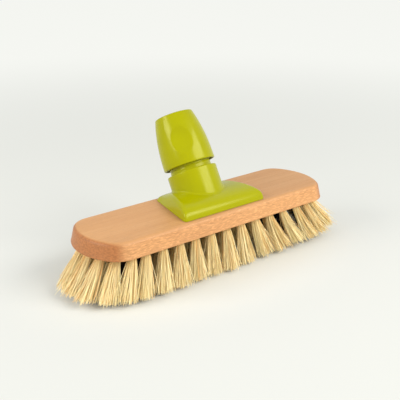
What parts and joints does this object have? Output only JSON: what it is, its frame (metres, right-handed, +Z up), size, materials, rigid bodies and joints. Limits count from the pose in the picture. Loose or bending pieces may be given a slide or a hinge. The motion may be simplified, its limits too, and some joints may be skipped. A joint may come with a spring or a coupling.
{
  "type": "deck brush",
  "caption": "Deck scrubbing brush: wooden block with splayed fibre tufts and a leaning plastic clamp socket with a screw nut for a round handle.",
  "frame": {"origin": "on the floor under the fibre tips, below the middle of the bounding box", "axes": "+X along the block, +Z up, the handle socket leans towards +Y"},
  "size_m": [0.263, 0.0916, 0.1194],
  "materials": {
    "beech": "lightly sanded, unvarnished",
    "lime_plastic": "satin moulded",
    "sleeve_plastic": "moulded",
    "screw_steel": "zinc plated",
    "cream_fibre": "stiff plant fibre",
    "black_fibre": "stiff dyed fibre"
  },
  "bodies": {
    "brush": {"brush_block": "beech", "handle_holder": "lime_plastic", "holder_screw_1": "screw_steel", "holder_screw_2": "screw_steel", "holder_screw_3": "screw_steel", "holder_screw_4": "screw_steel", "border_tuft_01": "cream_fibre", "border_tuft_02": "cream_fibre", "border_tuft_03": "cream_fibre", "border_tuft_04": "cream_fibre", "border_tuft_05": "cream_fibre", "border_tuft_06": "cream_fibre", "border_tuft_07": "cream_fibre", "border_tuft_08": "cream_fibre", "border_tuft_09": "cream_fibre", "border_tuft_10": "cream_fibre", "border_tuft_11": "cream_fibre", "border_tuft_12": "cream_fibre", "border_tuft_13": "cream_fibre", "border_tuft_14": "cream_fibre", "border_tuft_15": "cream_fibre", "border_tuft_16": "cream_fibre", "border_tuft_17": "cream_fibre", "border_tuft_18": "cream_fibre", "border_tuft_19": "cream_fibre", "border_tuft_20": "cream_fibre", "border_tuft_21": "cream_fibre", "border_tuft_22": "cream_fibre", "border_tuft_23": "cream_fibre", "border_tuft_24": "cream_fibre", "border_tuft_25": "cream_fibre", "border_tuft_26": "cream_fibre", "border_tuft_27": "cream_fibre", "border_tuft_28": "cream_fibre", "border_tuft_29": "cream_fibre", "border_tuft_30": "cream_fibre", "border_tuft_31": "cream_fibre", "border_tuft_32": "cream_fibre", "border_tuft_33": "cream_fibre", "border_tuft_34": "cream_fibre", "border_tuft_35": "cream_fibre", "border_tuft_36": "cream_fibre", "black_tufts_front_left": "black_fibre", "black_tufts_front_right": "black_fibre", "black_tufts_rear_left": "black_fibre", "black_tufts_rear_right": "black_fibre", "black_tufts_centre_left": "black_fibre", "black_tufts_centre_right": "black_fibre", "cream_tufts_front_left": "cream_fibre", "cream_tufts_front_middle": "cream_fibre", "cream_tufts_front_right": "cream_fibre", "cream_tufts_rear_left": "cream_fibre", "cream_tufts_rear_middle": "cream_fibre", "cream_tufts_rear_right": "cream_fibre", "cream_tufts_centre": "cream_fibre", "cream_tufts_end_left": "cream_fibre", "cream_tufts_end_right": "cream_fibre"},
    "sleeve": {"clamping_sleeve": "sleeve_plastic"},
    "nut": {"clamp_nut": "lime_plastic"}
  },
  "joints": [
    {"name": "sleeve_travel", "type": "slide", "parent": "brush", "child": "sleeve", "axis": [0, 0.4909, 0.8712], "range_m": [-0.0042, 0.006]},
    {"name": "nut_turn", "type": "hinge", "parent": "sleeve", "child": "nut", "pos_m": [0, 0.01139, 0.07487], "axis": [0, 0.4909, 0.8712], "range_deg": [-378.2, 540.2]}
  ],
  "couplings": [
    {"joint": "nut_turn", "follows": "sleeve_travel", "rad_per_m": 1570.8}
  ]
}
